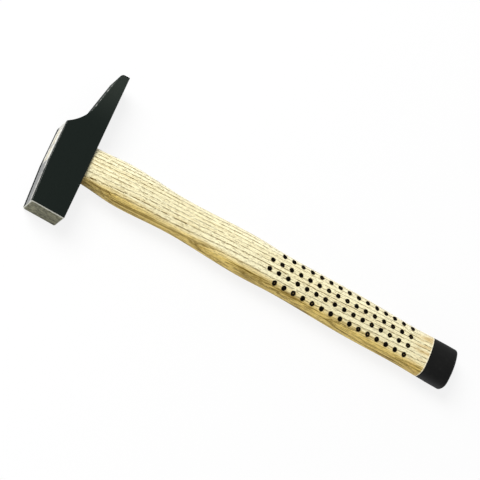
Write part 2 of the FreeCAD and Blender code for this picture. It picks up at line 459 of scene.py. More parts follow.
def section_arcs(x):
    """Centres and turns, over the middle plane, of the section's broad, corner and narrow arcs."""
    half_width, half_thick = form_at(x)
    broad_centre = half_thick - broad_side_radius
    narrow_centre = half_width - narrow_side_radius
    broad = broad_side_radius - handle_corner_radius
    narrow = narrow_side_radius - handle_corner_radius
    gap = math.hypot(narrow_centre, broad_centre)
    along = (gap**2 + broad**2 - narrow**2) / (2 * gap)
    aside = math.sqrt(broad**2 - along**2)
    unit = (narrow_centre / gap, -broad_centre / gap)
    corner_y = along * unit[0] + aside * unit[1]
    corner_z = broad_centre + along * unit[1] - aside * unit[0]
    broad_end = math.atan2(corner_y, corner_z - broad_centre)
    corner_end = math.atan2(corner_y - narrow_centre, corner_z)
    return (
        (0, broad_centre, broad_end),
        (corner_y, corner_z, corner_end - broad_end),
        (narrow_centre, 0, math.pi / 2 - corner_end),
    )


def broad_side_height(x, y):
    """Height of a broad side, or of the corner beside it, over the middle plane."""
    broad, corner, _ = section_arcs(x)
    if abs(y) <= broad_side_radius * math.sin(broad[2]):
        return broad[1] + math.sqrt(broad_side_radius**2 - y**2)
    return corner[1] + math.sqrt(handle_corner_radius**2 - (abs(y) - corner[0]) ** 2)


def section(name, x):
    """A piece that starts as the handle's section at x: three arcs, mirrored twice and filled."""
    half_thick = form_at(x)[1]
    clear_selection()
    bpy.ops.mesh.primitive_plane_add(size=overrun, location=(x, 0, middle_z + half_thick))
    piece = bpy.context.object
    piece.name = name
    bpy.ops.object.transform_apply(location=True, rotation=True, scale=True)
    bpy.ops.object.mode_set(mode="EDIT")
    bpy.ops.mesh.select_mode(type="VERT")
    bpy.ops.mesh.select_all(action="SELECT")
    bpy.ops.mesh.merge(type="CENTER")
    for (y, z, angle), steps in zip(section_arcs(x), (broad_steps, corner_steps, narrow_steps)):
        bpy.ops.mesh.spin(steps=steps, angle=angle, center=(x, y, middle_z + z), axis=X)
    for mirrored in ((1, -1, 1), (1, 1, -1)):
        bpy.ops.mesh.select_all(action="SELECT")
        bpy.ops.mesh.duplicate()
        bpy.ops.transform.resize(value=mirrored, center_override=(x, 0, middle_z))
        bpy.ops.mesh.select_all(action="SELECT")
        bpy.ops.mesh.remove_doubles(threshold=touch)
    bpy.ops.mesh.edge_face_add()
    return piece


def run_on(start, end):
    """Draws the selected section out along the handle, following its form."""
    stations = max(1, round((end - start) / station_pitch))
    x = start
    for station in range(1, stations + 1):
        next_x = start + (end - start) * station / stations
        now, then = form_at(x), form_at(next_x)
        pull(X * (next_x - x), (1, then[0] / now[0], then[1] / now[1]), (x, 0, middle_z))
        x = next_x


def dot_places():
    """Where the grip dots lie: outer rows start one column later than the inner rows."""
    middle = cap_line_x - dot_cap_gap - dot_pitch_along * (dot_columns - 1) / 2
    for row in range(dot_rows):
        outer = row in (0, dot_rows - 1)
        across = (row - (dot_rows - 1) / 2) * dot_pitch_across
        for column in range(1 if outer else 0, dot_columns):
            along = (column - (dot_columns - 1) / 2) * dot_pitch_along
            place = Matrix.Rotation(dot_block_turn, 2) @ Vector((along, across))
            yield middle + place.x, dot_block_offset + place.y


def model_punch():
    """The ring punch that presses one dot, standing on the origin with its core hollow."""
    clear_selection()
    bpy.ops.mesh.primitive_circle_add(
        vertices=dot_sides, radius=dot_diameter / 2, fill_type="NGON"
    )
    punch = bpy.context.object
    bpy.ops.object.mode_set(mode="EDIT")
    bpy.ops.mesh.select_all(action="SELECT")
    pull(-Z * (dot_depth - dot_core_drop))
    slant = (dot_diameter + dot_core_diameter) / 2 / dot_diameter
    pull(-Z * dot_core_drop, (slant, slant, 1))
    core = dot_core_diameter / dot_diameter / slant
    pull(Z * dot_core_drop, (core, core, 1))
    pick_facing(punch, Z)
    pull(Z * overrun)
    close_edit()
    return punch


def dot_punches():
    """All the punches in their places on both broad sides, as one cutting shape."""
    punch = model_punch()
    chance = random.Random(7)
    punches = []
    for x, y in dot_places():
        surface = broad_side_height(x, y)
        for side in (1, -1):
            copy = punch.copy()
            copy.data = punch.data.copy()
            bpy.context.scene.collection.objects.link(copy)
            size = 1 + chance.uniform(-dot_size_spread, dot_size_spread)
            copy.location = (x, y, middle_z + side * surface)
            copy.scale = (size, size, side)
            punches.append(copy)
    bpy.data.objects.remove(punch)
    clear_selection()
    for copy in punches:
        copy.select_set(True)
    bpy.context.view_layer.objects.active = punches[0]
    bpy.ops.object.join()
    bpy.ops.object.transform_apply(location=True, rotation=True, scale=True)
    bpy.ops.object.mode_set(mode="EDIT")
    close_edit()
    return punches[0]


def wedge_slot(name, depth, top, tip, half_y, half_z, thin):
    """The slot that a wedge is driven into: a block that narrows inwards along its thin axis."""
    slope = (top - tip) / depth
    mouth = 1 + overrun * slope / top
    half = Vector((0, half_y, half_z))
    grow = [mouth if axis == thin else 1 for axis in range(3)]
    shrink = [tip / top if axis == thin else 1 for axis in range(3)]
    high = eye_middle + X * (depth - half_height) + half
    low = eye_middle - X * (half_height + overrun) - half
    slot = block(name, low, high)
    pick_facing(slot, -X)
    bpy.ops.transform.resize(value=grow, center_override=eye_middle)
    pick_facing(slot, X)
    bpy.ops.transform.resize(value=shrink, center_override=eye_middle)
    close_edit()
    return slot


def model_handle():
    """The grip with its spigot and its pressed dots, and the tenon with a slot for each wedge."""
    body = section("ash_handle", half_height)
    run_on(half_height, cap_line_x)
    bpy.ops.mesh.inset(thickness=cap_wall + cap_clearance)
    pull(X * (butt_x - cap_wall - cap_clearance - cap_line_x))
    close_edit()
    combine(body, dot_punches(), "DIFFERENCE")

    tenon = eye_plug("tenon", tenon_top_x, half_height + overrun, tenon_clearance)
    open_edit(tenon)
    pick_facing(tenon, -X)
    bpy.ops.mesh.bevel(offset=tenon_rim, segments=round_steps)
    close_edit()
    wood_slot = wedge_slot(
        "wood_slot",
        wood_wedge_depth,
        wood_wedge_top,
        wood_wedge_tip,
        eye_length,
        wood_wedge_top / 2,
        2,
    )
    combine(tenon, wood_slot, "DIFFERENCE")
    steel_slot = wedge_slot(
        "steel_slot",
        steel_wedge_depth,
        steel_wedge_top,
        steel_wedge_tip,
        steel_wedge_top / 2,
        steel_wedge_width / 2,
        1,
    )
    combine(tenon, steel_slot, "DIFFERENCE")
    combine(body, tenon, "UNION")
    return body


def model_cap():
    """A cup of the handle's own form, with a rounded rim and a faintly domed end."""
    cap = section("butt_cap", cap_line_x)
    round_x = butt_x - cap_edge_radius
    run_on(cap_line_x, round_x)
    x, drawn_in = round_x, 0
    half_width, half_thick = form_at(butt_x)
    for step in range(1, cap_edge_steps + 1):
        angle = math.pi / 2 * step / cap_edge_steps
        next_x = round_x + (cap_edge_radius - cap_dome) * math.sin(angle)
        next_in = cap_edge_radius * (1 - math.cos(angle))
        scale = (
            1,
            (half_width - next_in) / (half_width - drawn_in),
            (half_thick - next_in) / (half_thick - drawn_in),
        )
        pull(X * (next_x - x), scale, (x, 0, middle_z))
        x, drawn_in = next_x, next_in
    for ring in range(cap_dome_rings, 0, -1):
        share = (ring - 1) / ring if ring > 1 else cap_dome_tip_share
        climb = cap_dome * (2 * ring - 1) / cap_dome_rings**2
        pull(X * climb, (1, share, share), (x, 0, middle_z))

    turn_outwards()
    pick_facing(cap, -X)
    bpy.ops.mesh.inset(thickness=cap_wall)
    pull(X * (butt_x - cap_wall - cap_line_x))
    close_edit()
    return cap


# Node trees


def fill(tree, inputs, sockets):
    """Puts values, or links from other nodes' outputs, into inputs by name or number."""
    for name, value in dict(sockets).items():
        if isinstance(value, bpy.types.NodeSocket):
            tree.links.new(value, inputs[name])
        else:
            inputs[name].default_value = value


def add(tree, kind, sockets=(), **settings):
    """Adds a node, with its settings and with what goes into its sockets."""
    node = tree.nodes.new("ShaderNode" + kind)
    for name, value in settings.items():
        setattr(node, name, value)
    fill(tree, node.inputs, sockets)
    return node


def place_group(tree, group, sockets):
    return add(tree, "Group", sockets, node_tree=group).outputs


def work(tree, operation, *values):
    """A sum, product or other calculation on numbers."""
    return add(tree, "Math", enumerate(values), operation=operation).outputs[0]


def times(tree, *values):
    return reduce(lambda product, value: work(tree, "MULTIPLY", product, value), values)


def plus(tree, *values):
    return reduce(lambda total, value: work(tree, "ADD", total, value), values)


def most(tree, *values):
    return reduce(lambda highest, value: work(tree, "MAXIMUM", highest, value), values)


def rest_of(tree, value):
    return work(tree, "SUBTRACT", 1.0, value)


def about_zero(tree, value, size):
    """Turns noise of 0 to 1 into a wander of half the size either way."""
    return times(tree, work(tree, "SUBTRACT", value, 0.5), size)


def rise(tree, value, low, high, kind="SMOOTHSTEP"):
    """0 up to low, 1 from high on, and a smooth or even rise between."""
    sockets = {"Value": value, "From Min": low, "From Max": high}
    return add(tree, "MapRange", sockets, interpolation_type=kind).outputs["Result"]


def between(tree, value, rising, falling):
    """0, then 1 from the end of one span to the start of another, then 0 again."""
    return times(tree, rise(tree, value, *rising), rest_of(tree, rise(tree, value, *falling)))


def past(tree, value, span, origin=0):
    """0 before a span and 1 beyond it. Span and origin are in metres, the value in millimetres."""
    low, high = ((origin + end) / mm for end in span)
    return rise(tree, value, low, high)


def short_of(tree, value, span, origin=0):
    return rest_of(tree, past(tree, value, span, origin))


def vectors(tree, operation, *values):
    return add(tree, "VectorMath", enumerate(values), operation=operation).outputs[0]


def noise(tree, vector, scale, detail=2.0, roughness=0.5, output="Fac"):
    """Noise whose scale is a number, or one number for each axis."""
    if isinstance(scale, tuple):
        vector, scale = vectors(tree, "MULTIPLY", vector, scale), 1.0
    sockets = {"Vector": vector, "Scale": scale, "Detail": detail, "Roughness": roughness}
    return add(tree, "TexNoise", sockets).outputs[output]


def moved(tree, vector, x, y, z):
    return vectors(tree, "ADD", vector, (x, y, z))


def blend(tree, share, first, second):
    """One colour or the other, by a share of the second."""
    return add(tree, "Mix", {0: share, 6: first, 7: second}, data_type="RGBA").outputs[2]


def new_group(name, inputs, outputs):
    """A shader node group with named sockets: (name, kind, default) in and (name, kind) out."""
    tree = bpy.data.node_groups.new(name, "ShaderNodeTree")
    for label, kind, default in inputs:
        socket = tree.interface.new_socket(label, in_out="INPUT", socket_type="NodeSocket" + kind)
        if default is not None:
            socket.default_value = default
    for label, kind in outputs:
        tree.interface.new_socket(label, in_out="OUTPUT", socket_type="NodeSocket" + kind)
    given = tree.nodes.new("NodeGroupInput").outputs
    result = tree.nodes.new("NodeGroupOutput").inputs
    return tree, given, result


def empty_tree(owner):
    """The node tree of a material or a world, emptied."""
    owner.use_nodes = True
    owner.node_tree.nodes.clear()
    return owner.node_tree


def new_material(name):
    """A new material: its tree, its shader and the object's own coordinates in millimetres."""
    material = bpy.data.materials.new(name)
    tree = empty_tree(material)
    shader = add(tree, "BsdfPrincipled")
    add(tree, "OutputMaterial", {"Surface": shader.outputs["BSDF"]})
    here = add(tree, "TexCoord").outputs["Object"]
    scaled = add(tree, "VectorMath", {0: here, "Scale": 1 / mm}, operation="SCALE")
    return material, tree, shader, scaled.outputs["Vector"]


def dress(tree, shader, colour, roughness, height, depth, others=()):
    """Gives a shader its colour, its roughness, a fine relief of a given depth, and others."""
    bump = add(tree, "Bump", {"Height": height, "Strength": 1.0, "Distance": depth})
    own = {"Base Color": colour, "Roughness": roughness, "Normal": bump.outputs["Normal"]}
    fill(tree, shader.inputs, own)
    fill(tree, shader.inputs, others)


# Finishes

surface_outputs = [("Color", "Color"), ("Roughness", "Float"), ("Height", "Float")]


def drift(tree, vector, scale, size):
    """A wander across the grain, of half the size either way."""
    wander = noise(tree, vector, scale, 1.0, output="Color")
    wander = vectors(tree, "SUBTRACT", wander, (0.5, 0.5, 0.5))
    return vectors(tree, "MULTIPLY", wander, (0, size, size))


def growth_rings(tree, vector, pith, pitch):
    """A place moved as the rings wander, how far through its ring it is, and the ring's chance."""
    slow = drift(tree, vector, (0.007, 0.03, 0.03), 3)
    waver = drift(tree, vector, (0.10, 0.6, 0.6), 0.7)
    grown = vectors(tree, "ADD", vectors(tree, "ADD", vector, slow), waver)
    from_pith = vectors(tree, "SUBTRACT", grown, pith)
    from_pith = vectors(tree, "MULTIPLY", from_pith, (0.02, 1, 1))
    radius = add(tree, "VectorMath", {0: from_pith}, operation="LENGTH").outputs["Value"]
    turns = work(tree, "DIVIDE", radius, pitch)
    chance = add(tree, "TexWhiteNoise", {"W": work(tree, "FLOOR", turns)}, noise_dimensions="1D")
    return grown, work(tree, "FRACT", turns), chance.outputs["Value"]


def open_pores(tree, vector, dashes, share, chance):
    """Pores as dashes along the grain: many where a ring starts, and a few strays elsewhere."""
    porous = between(tree, share, (0.0, 0.03), (0.20, 0.26))
    pores = times(tree, rise(tree, dashes, 0.45, 0.50), porous)
    pores = times(tree, pores, plus(tree, 0.65, times(tree, chance, 0.5)))
    stray = noise(tree, moved(tree, vector, 3, 5, 9), (0.40, 4.0, 4.0), 2.0)
    return most(tree, pores, times(tree, rise(tree, stray, 0.57, 0.63), 0.60))


def golden_share(tree, vector, fibre, streak, share, chance):
    """How golden the wood is: more towards a ring's end, and wandering with its streaks."""
    patch = noise(tree, vector, (0.02, 0.12, 0.12), 2.0)
    golden = plus(
        tree,
        times(tree, rise(tree, share, 0.3, 1.0), 0.2, plus(tree, 0.4, chance)),
        0.12,
        about_zero(tree, fibre, 2.0),
        about_zero(tree, patch, 0.6),
        about_zero(tree, streak, 2.4),
    )
    return rise(tree, golden, 0.0, 1.0, "LINEAR")


def early_bands(tree, dashes, share, chance):
    """The darker, open wood that each ring starts with."""
    early = between(tree, share, (0.0, 0.06), (0.14, 0.40))
    band = times(tree, early, plus(tree, 0.25, times(tree, chance, 0.5)))
    band = plus(tree, band, times(tree, about_zero(tree, dashes, 1.2), early))
    return rise(tree, band, 0.0, 1.0, "LINEAR")


def long_streaks(tree, vector, streak):
    """Broad streaks that run on through the rings, and thin ones that break them up."""
    thin = noise(tree, moved(tree, vector, 2, 8, 5), (0.05, 1.7, 1.7), 2.0, 0.6)
    broad = times(
        tree, rise(tree, streak, 0.52, 0.66), plus(tree, 0.9, about_zero(tree, thin, 1.6))
    )
    return most(tree, broad, times(tree, rise(tree, thin, 0.53, 0.61), 0.62))


def wood_grain_group():
    """Ring-porous wood cut from a solid: rings about a far pith, pore dashes and fine fibre.
    Its places and lengths are in millimetres."""
    tree, given, result = new_group(
        "wood_grain",
        [
            ("Vector", "Vector", None),
            ("Pale", "Color", (0.8, 0.7, 0.45, 1)),
            ("Golden", "Color", (0.6, 0.42, 0.18, 1)),
            ("Band", "Color", (0.4, 0.3, 0.12, 1)),
            ("Pore", "Color", (0.2, 0.13, 0.06, 1)),
            ("Pith", "Vector", (0, -63, 39)),
            ("Ring Pitch", "Float", 2.2),
            ("Band Strength", "Float", 0.4),
            ("Streak Strength", "Float", 0.2),
            ("Pore Strength", "Float", 0.8),
        ],
        surface_outputs,
    )
    vector = given["Vector"]
    grown, share, chance = growth_rings(tree, vector, given["Pith"], given["Ring Pitch"])
    dashes = noise(tree, grown, (0.26, 3.6, 3.6), 2.0, 0.6)
    fibre = noise(tree, vector, (0.05, 8.0, 8.0), 2.0, 0.6)
    streak = noise(tree, moved(tree, vector, 7, 1, 4), (0.009, 0.75, 0.75), 3.0, 0.6)

    golden = golden_share(tree, vector, fibre, streak, share, chance)
    bands = times(tree, early_bands(tree, dashes, share, chance), given["Band Strength"])
    streaks = times(tree, long_streaks(tree, vector, streak), given["Streak Strength"])
    pores = times(tree, open_pores(tree, vector, dashes, share, chance), given["Pore Strength"])
    colour = blend(tree, golden, given["Pale"], given["Golden"])
    colour = blend(tree, most(tree, bands, streaks), colour, given["Band"])
    colour = blend(tree, pores, colour, given["Pore"])

    roughness = plus(tree, 0.42, times(tree, pores, 0.3), times(tree, fibre, 0.14))
    height = work(tree, "SUBTRACT", times(tree, fibre, 0.3), pores)
    fill(tree, result, {"Color": colour, "Roughness": roughness, "Height": height})
    return tree


def ground_steel_group():
    """Bare steel off a grinding belt: fine lines, a few deeper ones, and duller patches."""
    tree, given, result = new_group(
        "ground_steel",
        [
            ("Vector", "Vector", None),
            ("Line Scale", "Vector", (6, 0.15, 6)),
            ("Bright", "Color", (0.62, 0.61, 0.57, 1)),
            ("Dull", "Color", (0.34, 0.33, 0.29, 1)),
        ],
        surface_outputs,
    )
    across = vectors(tree, "MULTIPLY", given["Vector"], given["Line Scale"])
    lines = noise(tree, across, 1.0, 4.0, 0.7)
    patch = noise(tree, given["Vector"], 0.45, 4.0, 0.6)
    pits = rise(tree, noise(tree, given["Vector"], 2.2, 2.0), 0.66, 0.74)
    dull = plus(tree, times(tree, lines, 0.9), times(tree, patch, 0.9), times(tree, pits, 0.35))
    dull = rise(tree, dull, 0.65, 1.20, "LINEAR")
    colour = blend(tree, dull, given["Bright"], given["Dull"])
    roughness = plus(tree, 0.28, times(tree, dull, 0.25))
    height = work(tree, "SUBTRACT", lines, pits)
    fill(tree, result, {"Color": colour, "Roughness": roughness, "Height": height})
    return tree


def nearest_dot_group():
    """How far the nearest grip dot's middle is, in millimetres, and that dot's own chance."""
    tree, given, result = new_group(
        "nearest_dot",
        [("Vector", "Vector", None)],
        [("Distance", "Float"), ("Chance", "Float")],
    )
    pitch = (dot_pitch_along / mm, dot_pitch_across / mm)
    middle_x = (cap_line_x - dot_cap_gap) / mm - pitch[0] * (dot_columns - 1) / 2
    middle_y = dot_block_offset / mm
    turned = add(
        tree,
        "VectorRotate",
        {"Vector": given["Vector"], "Center": (middle_x, middle_y, 0), "Angle": -dot_block_turn},
        rotation_type="Z_AXIS",
    )
    split = add(tree, "SeparateXYZ", {0: turned.outputs[0]}).outputs
    squares = []
    numbers = []
    for axis, middle, count in ((0, middle_x, dot_columns), (1, middle_y, dot_rows)):
        first = middle - pitch[axis] * (count - 1) / 2
        along = work(tree, "DIVIDE", work(tree, "SUBTRACT", split[axis], first), pitch[axis])
        number = work(tree, "MAXIMUM", work(tree, "ROUND", along), 0)
        number = work(tree, "MINIMUM", number, count - 1)
        off = times(tree, work(tree, "SUBTRACT", along, number), pitch[axis])
        squares.append(times(tree, off, off))
        numbers.append(number)
    distance = work(tree, "SQRT", plus(tree, *squares))

    # The outer rows have no dot in the first column.
    row_off = work(tree, "ABSOLUTE", work(tree, "SUBTRACT", numbers[1], (dot_rows - 1) / 2))
    missing = times(
        tree, work(tree, "GREATER_THAN", row_off, 1.0), work(tree, "LESS_THAN", numbers[0], 0.5)
    )
    distance = plus(tree, distance, times(tree, missing, pitch[0]))
    side = work(tree, "GREATER_THAN", split["Z"], middle_z / mm)
    place = add(tree, "CombineXYZ", {0: numbers[0], 1: numbers[1], 2: side}).outputs[0]
    chance = add(tree, "TexWhiteNoise", {"Vector": place}, noise_dimensions="3D")
    fill(tree, result, {"Distance": distance, "Chance": chance.outputs["Value"]})
    return tree


wood_grain = wood_grain_group()
ground_steel = ground_steel_group()
nearest_dot = nearest_dot_group()


def ash_grain(tree, place, heartwood_and_shade, sapwood_and_light):
    """The grain of ash that is pale on its sapwood side, partly as painted light along that edge,
    and golden brown on its heartwood side, partly as painted shade on that side.
    """
    pale = blend(tree, heartwood_and_shade, (0.96, 0.90, 0.60, 1), (0.85, 0.645, 0.205, 1))
    askew = {"Vector": place, "Angle": -grain_run_out}
    return place_group(
        tree,
        wood_grain,
        {
            "Vector": add(tree, "VectorRotate", askew, rotation_type="Z_AXIS").outputs[0],
            "Pith": (0, -68, 39),
            "Ring Pitch": 2.5,
            "Pale": blend(tree, sapwood_and_light, pale, (0.95, 0.91, 0.70, 1)),
            "Golden": blend(tree, heartwood_and_shade, (0.74, 0.62, 0.32, 1), (0.54, 0.35, 0.052, 1)),
            "Band": blend(tree, heartwood_and_shade, (0.46, 0.36, 0.15, 1), (0.14, 0.080, 0.006, 1)),
            "Pore": (0.15, 0.085, 0.004, 1),
            "Band Strength": plus(tree, 0.20, times(tree, heartwood_and_shade, 0.22)),
            "Streak Strength": plus(tree, 0.10, times(tree, heartwood_and_shade, 0.85)),
            "Pore Strength": plus(tree, 1.0, times(tree, heartwood_and_shade, -0.15)),
        },
    )


def tenon_end(tree, place, split, colour):
    """Grey end grain where the tenon was ground flush, dark and frayed along the eye's rim."""
    end_grain = (0.62, 0.63, 0.60, 1)
    rim_dark = (0.045, 0.042, 0.034, 1)
    end = past(tree, times(tree, split["X"], -1), end_grain_span, -tenon_top_x)
    colour = blend(tree, times(tree, end, 0.85), colour, end_grain)
    frayed = about_zero(tree, noise(tree, place, 1.5, 3.0), 0.8)
    height = plus(tree, split["Z"], frayed)
    half_mouth = (eye_width + eye_flare) / 2
    # The end grain darkens along the eye's near and far rims.
    near_rim = past(tree, height, near_rim_span, middle_z + half_mouth)
    far_rim = short_of(tree, height, far_rim_span, middle_z - half_mouth)
    rim = times(tree, end, most(tree, near_rim, far_rim), 0.85)
    return blend(tree, rim, colour, rim_dark)


def handle_ends(tree, place, split, out, colour):
    """A brown tint and a painted highlight as a pale seam beside the cap, and painted shade by the
    head on the heartwood side.
    """
    tint_brown = (0.60, 0.39, 0.12, 1)
    painted_shade_brown = (0.19, 0.13, 0.045, 1)
    highlight_pale = (0.96, 0.92, 0.74, 1)
    tint = rise(tree, noise(tree, place, (0.04, 0.35, 0.35), 3.0, 0.6), 0.42, 0.62)
    tint = times(tree, tint, past(tree, split["X"], tint_span, cap_line_x), 0.65)
    colour = blend(tree, tint, colour, tint_brown)
    # Painted shade: the handle darkened by the head on the heartwood side.
    painted_shade = short_of(tree, split["X"], shade_reach_span, half_height)
    painted_shade = times(tree, painted_shade, past(tree, out, shade_side_span), 0.5)
    colour = blend(tree, painted_shade, colour, painted_shade_brown)
    # Painted highlight: a pale line on the wood along the cap's edge.
    seam = past(tree, split["X"], seam_highlight_span, cap_line_x)
    return blend(tree, times(tree, seam, 0.55), colour, highlight_pale)


def scorched_dots(tree, place, colour):
    """The colour with the grip dots burnt into it, and a mask of where they are scorched."""
    toast_brown = (0.30, 0.18, 0.07, 1)
    soot = (0.0030, 0.0020, 0.0010, 1)
    core_brown = (0.22, 0.14, 0.05, 1)
    dot = place_group(tree, nearest_dot, {"Vector": place})
    ragged = about_zero(tree, noise(tree, place, 0.9, 2.0), 0.70)
    distance = plus(tree, dot["Distance"], ragged)
    scorch = short_of(tree, distance, scorch_span, dot_diameter / 2)
    toast = times(tree, short_of(tree, distance, toast_span, dot_diameter / 2), 0.30)
    core = short_of(tree, distance, core_span)
    core = times(tree, core, rise(tree, dot["Chance"], 0.45, 1.0), 0.8)
    colour = blend(tree, toast, colour, toast_brown)
    return blend(tree, scorch, colour, blend(tree, core, soot, core_brown)), scorch


def ash_material():
    """Pale ash that turns golden towards its heartwood side, partly as painted shade there, with
    scorched grip dots.
    """
    material, tree, shader, place = new_material("sanded_ash")
    split = add(tree, "SeparateXYZ", {0: place}).outputs
    ragged = about_zero(tree, noise(tree, place, (0.03, 0.5, 0.5), 2.0), 2.5)
    out = work(tree, "SUBTRACT", ragged, split["Y"])
    # Golden towards the heartwood side: partly the wood's own tone, partly painted shade on that
    # side.
    heartwood_and_shade = past(tree, out, heartwood_and_shade_span)
    # Paler towards the sapwood side: partly the wood's own tone, partly painted light along that
    # edge.
    grain = ash_grain(tree, place, heartwood_and_shade, past(tree, split["Y"], sapwood_and_light_span))
    colour = tenon_end(tree, place, split, grain["Color"])
    colour = handle_ends(tree, place, split, out, colour)
    colour, scorch = scorched_dots(tree, place, colour)
    roughness = plus(tree, grain["Roughness"], times(tree, scorch, 0.45))
    coat = times(tree, rest_of(tree, scorch), plus(tree, 0.65, times(tree, heartwood_and_shade, -0.45)))
    others = {"Coat Weight": coat, "Coat Roughness": 0.28, "Specular IOR Level": 0.06}
    dress(tree, shader, colour, roughness, grain["Height"], ash_relief, others)
    return material


def wedge_wood_material():
    material, tree, shader, place = new_material("wedge_beech")
    grain = place_group(
        tree,
        wood_grain,
        {
            "Vector": place,
            "Pale": (0.60, 0.54, 0.39, 1),
            "Golden": (0.48, 0.41, 0.26, 1),
            "Band": (0.34, 0.27, 0.15, 1),
            "Pore": (0.16, 0.10, 0.05, 1),
            "Pith": (0, 9, -40),
            "Ring Pitch": 1.1,
        },
    )
    dress(tree, shader, grain["Color"], grain["Roughness"], grain["Height"], wedge_wood_relief)
    return material


def steel_material():
    material, tree, shader, place = new_material("ground_wedge_steel")
    steel = place_group(tree, ground_steel, {"Vector": place})
    colour, roughness, height = steel["Color"], steel["Roughness"], steel["Height"]
    dress(tree, shader, colour, roughness, height, wedge_steel_relief, {"Metallic": 1.0})
    return material


def cheek_distances(tree, split):
    """How far in a place on the head lies from the near and from the far cheek, in millimetres."""
    drawn_in = rise(
        tree, times(tree, split["Y"], -1), flat_reach / mm, -head_low.y / mm, "LINEAR"
    )
    drawn_in = times(tree, drawn_in, (thickness - face_thickness) / 2 / mm)
    near = work(tree, "SUBTRACT", thickness / mm, plus(tree, drawn_in, split["Z"]))
    return near, work(tree, "SUBTRACT", split["Z"], drawn_in)


def ground_patch(tree, split, reach, near, far):
    """The top ground bare round the eye, with a strip of lacquer left beside each cheek."""
    return times(
        tree,
        short_of(tree, split["X"], patch_depth_span, -half_height),
        past(tree, reach, patch_front_span, -flat_reach),
        short_of(tree, reach, patch_back_span, shoulder_reach),
        past(tree, far, patch_far_span),
        past(tree, near, patch_near_span),
    )


def worn_edge(tree, place, split, from_edge, upper):
    """Lacquer gone beside the near edge: chipped off along it, and in strokes on the neck."""
    chips = rise(tree, noise(tree, place, (0.8, 0.4, 0.4), 4.0, 0.65), 0.50, 0.55)
    strokes = rise(tree, noise(tree, place, (0.6, 0.12, 1.5), 3.0, 0.6), 0.40, 0.60)
    strokes = times(tree, strokes, short_of(tree, split["Y"], neck_span))
    return times(
        tree,
        most(tree, chips, strokes),
        upper,
        past(tree, from_edge, wear_near_span),
        short_of(tree, from_edge, wear_far_span),
        short_of(tree, split["Y"], wear_end_span),
    )


def struck_face(tree, place, split, reach, face, colour):
    """The steel's colour with a duller striking face, and a painted highlight as a bright line
    along the back of its chamfer.
    """
    highlight_bright = (0.74, 0.74, 0.66, 1)
    flat = short_of(tree, split["Y"], face_flat_span, head_low.y)
    struck = place_group(
        tree,
        ground_steel,
        {
            "Vector": place,
            "Line Scale": (0.5, 1.0, 1.1),
            "Bright": blend(tree, flat, (0.27, 0.27, 0.20, 1), (0.24, 0.235, 0.14, 1)),
            "Dull": blend(tree, flat, (0.05, 0.05, 0.035, 1), (0.005, 0.005, 0.001, 1)),
        },
    )
    colour = blend(tree, face, colour, struck["Color"])
    # Painted highlight: a bright line along the back of the chamfer.
    line = past(tree, reach, chamfer_highlight_span, head_low.y + face_chamfer)
    return blend(tree, times(tree, face, line, 0.8), colour, highlight_bright)


def black_coat(tree, place, split):
    """The lacquer's black, greyer and more scuffed towards the peen's end, and its dust."""
    deep_black = (0.0050, 0.0090, 0.0070, 1)
    peen_black = (0.0200, 0.0265, 0.0215, 1)
    dust_grey = (0.034, 0.035, 0.031, 1)
    peen_end = past(tree, split["Y"], peen_end_span)
    dust = rise(tree, noise(tree, place, 3.0, 1.0), 0.68, 0.74)
    dust = times(tree, dust, plus(tree, 0.25, times(tree, peen_end, 0.75)))
    scuff = rise(tree, noise(tree, place, (2.4, 0.5, 2.4), 2.0), 0.62, 0.70)
    dust = most(tree, dust, times(tree, scuff, peen_end, 0.5))
    black = blend(tree, peen_end, deep_black, peen_black)
    return blend(tree, dust, black, dust_grey), dust


def matt_dirt(tree, near, far, ragged, above, slope):
    """Dirt that takes the gloss off the upper side's edges and off the peen's slope."""
    dirty = most(
        tree,
        short_of(tree, plus(tree, far, ragged), dirt_far_span),
        short_of(tree, near, dirt_near_span),
        times(tree, slope, 0.9),
    )
    off_near_cheek = past(tree, near, clean_near_span)
    off_far_cheek = past(tree, far, clean_far_span)
    return times(tree, dirty, above, off_near_cheek, off_far_cheek)


